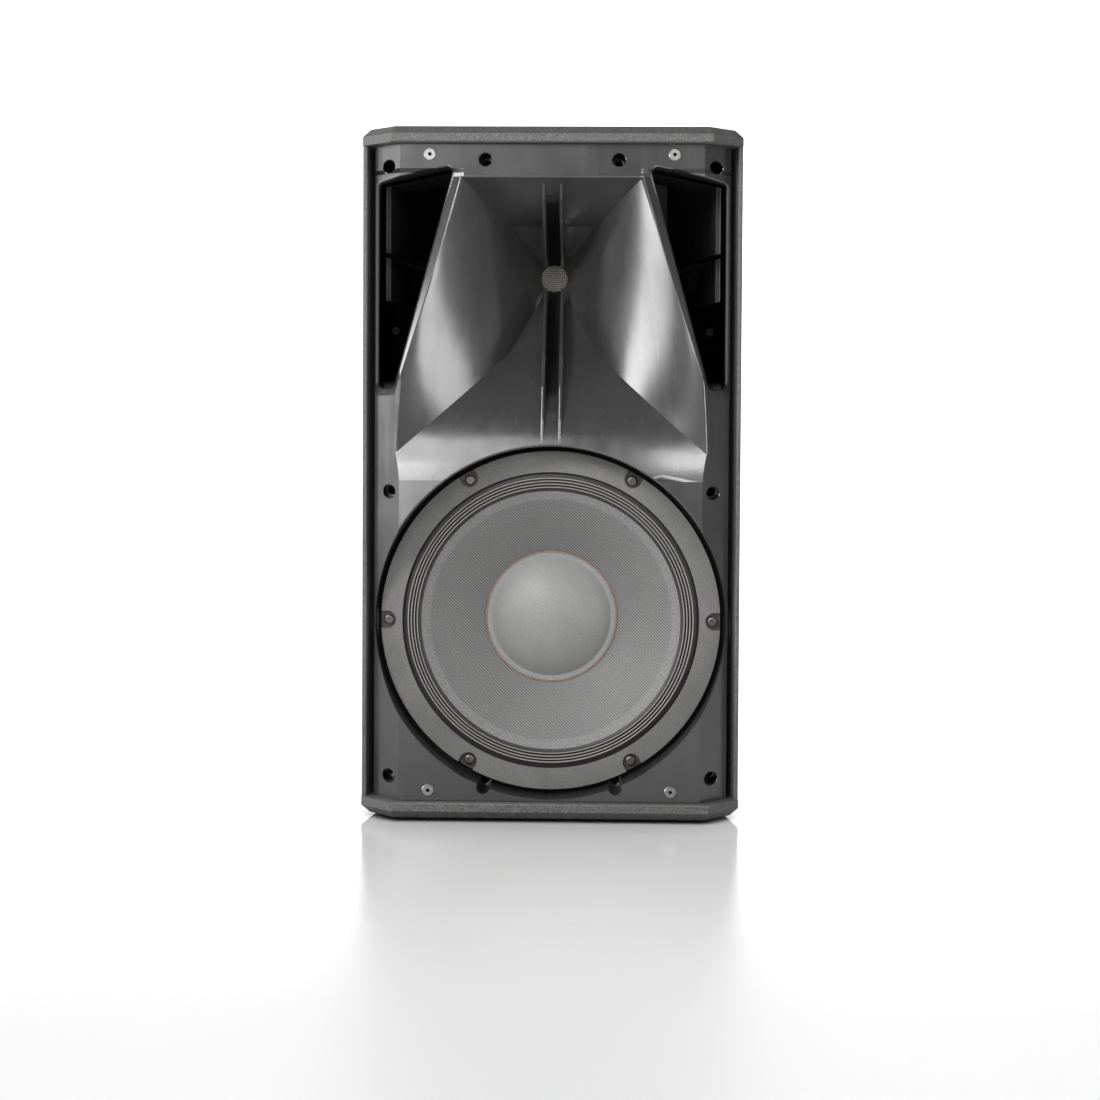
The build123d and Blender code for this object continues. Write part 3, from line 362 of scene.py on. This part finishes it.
def cap_cloth(name):
    """Grey dust cap: fine grain over a close square weave."""
    g = Graph(name)
    grain = g.noise(1700.0, 3.0, 0.7)
    warp = g.bands(430.0, (0.0, math.radians(30), 0.0))
    weft = g.bands(430.0, (0.0, math.radians(120), 0.0))
    weave = g.math("MULTIPLY", warp, weft)
    patch = g.noise(30.0, 5.0, 0.6)
    color = g.mix(g.level(grain, 0.35, 0.7), (0.12, 0.122, 0.118, 1.0), (0.24, 0.242, 0.233, 1.0))
    color = g.mix(g.level(patch, 0.35, 0.75, 0.0, 0.4), color, (0.12, 0.124, 0.115, 1.0))
    normal = g.bump(weave, 0.2, 0.0002)
    normal = g.bump(grain, 0.3, 0.00014, normal)
    return g.finish(color, g.level(grain, 0.3, 0.7, 0.42, 0.6), normal, Sheen_Weight=0.2)


def coloured(name, dark, light, rough=(0.35, 0.6), scale=90.0):
    """Plastic, film or wrap in a plain tint with mottling."""
    g = Graph(name)
    patch = g.noise(scale, 5.0, 0.6)
    fine = g.noise(scale * 14, 2.0, 0.6)
    color = g.mix(g.level(patch, 0.35, 0.7), (*dark, 1.0), (*light, 1.0))
    return g.finish(color, g.level(patch, 0.3, 0.7, *rough), g.bump(fine, 0.2, 0.0001))


def gasket_board(name):
    """Fibrous gasket board with faint joints in its surface."""
    g = Graph(name)
    grain = g.noise(1500.0, 4.0, 0.75)
    clump = g.cells(900.0)
    patch = g.noise(25.0, 5.0, 0.6)
    color = g.mix(g.level(grain, 0.35, 0.68), grey(0.055, 0.01), grey(0.145, 0.02))
    color = g.mix(g.level(clump, 0.15, 0.6, 0.35, 0.0), color, grey(0.22, 0.02))
    color = g.mix(g.level(patch, 0.4, 0.75, 0.0, 0.4), color, grey(0.05))
    normal = g.bump(grain, 0.45, 0.0002)
    return g.finish(color, g.level(grain, 0.3, 0.7, 0.62, 0.85), normal)


def rusty_paint(name):
    """Black painted steel, brown with rust along its cut edges."""
    g = Graph(name)
    rust = g.noise(170.0, 6.0, 0.72)
    grain = g.noise(900.0, 3.0, 0.6)
    color = g.mix(g.level(rust, 0.48, 0.62), grey(0.016), (0.05, 0.034, 0.024, 1.0))
    color = g.mix(g.level(grain, 0.5, 0.75, 0.0, 0.3), color, (0.12, 0.095, 0.075, 1.0))
    return g.finish(color, g.level(rust, 0.4, 0.65, 0.35, 0.75), g.bump(grain, 0.3, 0.0002))


def make_materials():
    """One procedural finish for each material slot."""
    woofer = center_of("woofer_cone")
    low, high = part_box("woofer_surround")
    return {
        "moulded_front": moulded_plastic("moulded_front", woofer),
        "duct_plastic": grained("duct_plastic", 0.006, 0.014, 700.0, (0.55, 0.75), 0.25),
        "panel_paint": textured_paint("panel_paint"),
        "bare_plywood": wood_ply("bare_plywood"),
        "fitting_plastic": grained("fitting_plastic", 0.014, 0.03, 800.0, (0.4, 0.6), 0.45),
        "socket_plastic": coloured("socket_plastic", (0.01, 0.01, 0.012), (0.02, 0.02, 0.024), (0.2, 0.35)),
        "gasket_foam": gasket_board("gasket_foam"),
        "strip_foam": grained("strip_foam", 0.01, 0.03, 900.0, (0.8, 0.95), 0.6),
        "basket_paint": rusty_paint("basket_paint"),
        "surround_cloth": coated_cloth("surround_cloth", woofer, low[1] + 0.0002, high[1] - 0.0012),
        "cone_paper": cone_paper("cone_paper", woofer),
        "cap_cloth": cap_cloth("cap_cloth"),
        "copper_trim": metal(
            "copper_trim", (0.24, 0.155, 0.115, 1.0), (0.1, 0.08, 0.07, 1.0), (0.35, 0.6), 400.0, 0.6),
        "copper_wire": metal("copper_wire", (0.6, 0.28, 0.14, 1.0), (0.4, 0.18, 0.09, 1.0)),
        "former_film": coloured("former_film", (0.22, 0.1, 0.03), (0.34, 0.17, 0.06)),
        "spider_cloth": coloured("spider_cloth", (0.4, 0.28, 0.1), (0.55, 0.42, 0.2), (0.7, 0.9)),
        "plated_steel": metal("plated_steel", (0.55, 0.55, 0.54, 1.0), (0.35, 0.34, 0.32, 1.0)),
        "ferrite": grained("ferrite", 0.03, 0.06, 500.0, (0.5, 0.7), 0.3),
        "screw_black": screw_steel("screw_black"),
        "bright_zinc": metal(
            "bright_zinc", (0.3, 0.3, 0.295, 1.0), (0.16, 0.155, 0.145, 1.0), (0.3, 0.5), 420.0),
        "throat_screen": metal(
            "throat_screen", (0.15, 0.142, 0.13, 1.0), (0.06, 0.052, 0.045, 1.0), (0.35, 0.6), 500.0, 0.8),
        "hf_parts": grained("hf_parts", 0.02, 0.04),
        "titanium": metal("titanium", (0.5, 0.5, 0.52, 1.0), (0.4, 0.39, 0.4, 1.0)),
        "hf_film": coloured("hf_film", (0.3, 0.22, 0.1), (0.42, 0.32, 0.16)),
        "rubber_foot": grained("rubber_foot", 0.012, 0.03, 700.0, (0.65, 0.85), 0.4),
        "board": coloured("board", (0.012, 0.08, 0.03), (0.02, 0.13, 0.05), (0.3, 0.5)),
        "spacer_nylon": coloured("spacer_nylon", (0.6, 0.6, 0.56), (0.72, 0.72, 0.68)),
        "capacitor_film": coloured("capacitor_film", (0.24, 0.03, 0.02), (0.38, 0.06, 0.03), (0.2, 0.4)),
        "resistor_cement": coloured("resistor_cement", (0.6, 0.59, 0.55), (0.75, 0.74, 0.7), (0.7, 0.9)),
        "wire_pvc": coloured("wire_pvc", (0.2, 0.012, 0.012), (0.34, 0.03, 0.03), (0.3, 0.5)),
        "damping_foam": grained("damping_foam", 0.05, 0.12, 420.0, (0.85, 0.97), 0.9),
    }


def center_of(node):
    """Middle of a CAD node's box."""
    low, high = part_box(node)
    return (Vector(low) + Vector(high)) / 2


def dress_frame(materials):
    """Gives every CAD node its slot's procedural material."""
    for row in frame["record"]["subparts"]:
        piece = nodes[row["node"]]
        piece.data.materials.clear()
        piece.data.materials.append(materials[row["material_slot"]])


# ---- cloth rings turned about the drivers' axes ------------------------------------------------
def turned_skin(name, curve, thick, node):
    """A thin ring turned about a driver's axis from (radius, depth) points, set where the CAD node is."""
    low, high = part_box(node)
    middle = center_of(node)
    curve = [(r * MM, t * MM) for r, t in curve]
    shift = low[1] - min(t for _, t in curve)
    outline = [(r, t + shift) for r, t in curve]
    outline += [(r, t + shift + thick * MM) for r, t in reversed(curve)]
    count = len(outline)
    verts, faces = [], []
    for k in range(RING_TURNS):
        angle = 2 * math.pi * k / RING_TURNS
        c, s = math.cos(angle), math.sin(angle)
        verts += [(middle.x + r * c, y, middle.z + r * s) for r, y in outline]
        for m in range(count):
            n, after = (m + 1) % count, (k + 1) % RING_TURNS
            faces.append((k * count + m, k * count + n, after * count + n, after * count + m))
    mesh = bpy.data.meshes.new(name)
    mesh.from_pydata(verts, [], faces)
    mesh.polygons.foreach_set("use_smooth", [True] * len(faces))
    piece = bpy.data.objects.new(name, mesh)
    bpy.context.collection.objects.link(piece)
    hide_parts(node)
    return piece


def bend_ring(piece):
    """Bakes the ring's placement into its mesh."""
    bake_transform(piece)


def surround_curve():
    """Four small rolls between the basket's rim and the cone, with a flat glued lip on each side."""
    curve = [(119.5, 1.0), (121.5, 1.0)]
    steps, rolls, swing = 72, 4, 1.6
    for k in range(1, steps):
        share = k / steps
        wave = swing * math.cos(2 * math.pi * rolls * share)
        curve.append((121.5 + 11.0 * share, 1.0 - 0.5 * share + wave - swing))
    return curve + [(132.5, 0.5), (136.5, 0.5)]


def spider_curve():
    """Four soft waves from the coil former out to a flat rim."""
    curve = []
    for k in range(81):
        share = k / 80
        wave = 1.5 * math.sin(2 * math.pi * 5 * share) if share < 0.8 else 0.0
        curve.append((38.4 + 45.6 * share, wave))
    return curve


def add_rings(materials):
    """Each row: name, outline, thickness, CAD node, finish, moving body, inner and outer bending radius."""
    film = [(22.7, 0.6), (24.5, 0.2), (26.5, 0.2), (29.0, 0.0)]
    rings = [
        ("surround_rolls", surround_curve(), 0.6,
         "woofer_surround", "surround_cloth", "woofer_moving", 121.5, 132.5),
        ("spider_rolls", spider_curve(), 0.5,
         "woofer_spider", "spider_cloth", "woofer_moving", 40.0, 74.0),
        ("hf_film_ring", film, 0.3,
         "hf_surround", "hf_film", "hf_moving", 22.9, 28.5),
    ]
    for name, curve, thick, node, finish, mover, inner, outer in rings:
        piece = turned_skin(name, curve, thick, node)
        piece.data.materials.append(materials[finish])
        bend_ring(piece)


# ---- stage -------------------------------------------------------------------------------------
def add_stage():
    """A pale floor that sweeps up into the backdrop."""
    floor_far, rise, radius = 2.6, 4.0, 1.2
    outline = [(-9.0, 0.0), (floor_far, 0.0)]
    for k in range(1, 17):
        angle = math.pi / 2 * k / 16
        outline.append((floor_far + radius * math.sin(angle), radius * (1 - math.cos(angle))))
    outline.append((floor_far + radius, rise))
    verts = [(x, y, z) for x in (-7.0, 7.0) for y, z in outline]
    count = len(outline)
    faces = [(k, k + 1, count + k + 1, count + k) for k in range(count - 1)]
    mesh = bpy.data.meshes.new("floor")
    mesh.from_pydata(verts, [], faces)
    mesh.polygons.foreach_set("use_smooth", [True] * len(faces))
    floor = bpy.data.objects.new("floor", mesh)
    bpy.context.collection.objects.link(floor)
    g = Graph("floor_white")
    _, y, _ = g.axes()
    tone = g.noise(1.5, 2.0, 0.5)
    color = g.mix(g.level(tone, 0.3, 0.7), grey(0.74), grey(0.76))
    rough = g.level(y, -0.2, -0.75, 0.07, 0.4)
    rough = g.math("MAXIMUM", rough, g.level(y, 0.6, 1.6, 0.0, 0.8))
    mesh.materials.append(g.finish(color, rough, Specular_IOR_Level=0.5))
    return floor


def softbox(name, place, aim, size, power):
    """A rectangular studio light that faces aim and doesn't show in the picture."""
    data = bpy.data.lights.new(name, "AREA")
    data.shape = "RECTANGLE"
    data.size, data.size_y = size
    data.energy = power
    lamp = bpy.data.objects.new(name, data)
    bpy.context.collection.objects.link(lamp)
    lamp.visible_camera = False
    ahead = Vector(aim) - Vector(place)
    lamp.matrix_world = Matrix.Translation(place) @ ahead.to_track_quat("-Z", "Y").to_matrix().to_4x4()
    return lamp


def link_to_floor(lamps, floor, state):
    """Lets these lamps light everything but the floor, or the floor alone."""
    group = bpy.data.collections.new("floor_" + state.lower())
    group.objects.link(floor)
    group.collection_objects[0].light_linking.link_state = state
    for lamp in lamps:
        lamp.light_linking.receiver_collection = group


def add_lights(floor):
    """Side boxes for the horn's highlights, front boxes for its floor, a key, and the stage's own."""
    middle = (0.0, -0.15, 0.36)
    on_object = [
        softbox("left_box", (-1.32, -0.44, 0.52), middle, (0.66, 0.66), 14.5),
        softbox("right_box", (1.24, -0.925, 0.30), middle, (0.6, 0.56), 6.8),
        softbox("front_left_box", (-0.5, -2.3, 1.5), middle, (0.7, 1.0), 15.5),
        softbox("front_right_box", (0.95, -2.3, 1.12), middle, (0.8, 0.35), 7.0),
        softbox("front_low_box", (-0.48, -2.3, 0.38), middle, (0.36, 0.5), 5.6),
        softbox("left_corner_box", (-0.17, -0.5, 0.4), (-0.13, -0.16, 0.33), (0.1, 0.08), 0.23),
        softbox("right_corner_box", (0.155, -0.5, 0.46), (0.13, -0.16, 0.33), (0.09, 0.12), 0.34),
        softbox("key_box", (-1.15, -1.6, 1.4), middle, (0.55, 0.5), 40.0),
    ]
    on_stage = [
        softbox("backdrop_box", (0.0, 1.4, 2.6), (0.0, 3.8, 0.9), (6.0, 1.4), 230.0),
        softbox("floor_box", (0.0, -0.5, 3.0), (0.0, 0.0, 0.0), (5.0, 4.0), 150.0),
    ]
    link_to_floor(on_object, floor, "EXCLUDE")
    link_to_floor(on_stage, floor, "INCLUDE")
    world = bpy.data.worlds.new("studio")
    bpy.context.scene.world = world
    world.use_nodes = True
    world.node_tree.nodes["Background"].inputs["Color"].default_value = (1.0, 1.0, 1.0, 1.0)
    world.node_tree.nodes["Background"].inputs["Strength"].default_value = 0.15
    bpy.context.scene.view_settings.view_transform = "Standard"


def main():
    add_camera()
    materials = make_materials()
    dress_frame(materials)
    add_rings(materials)
    add_lights(add_stage())


main()
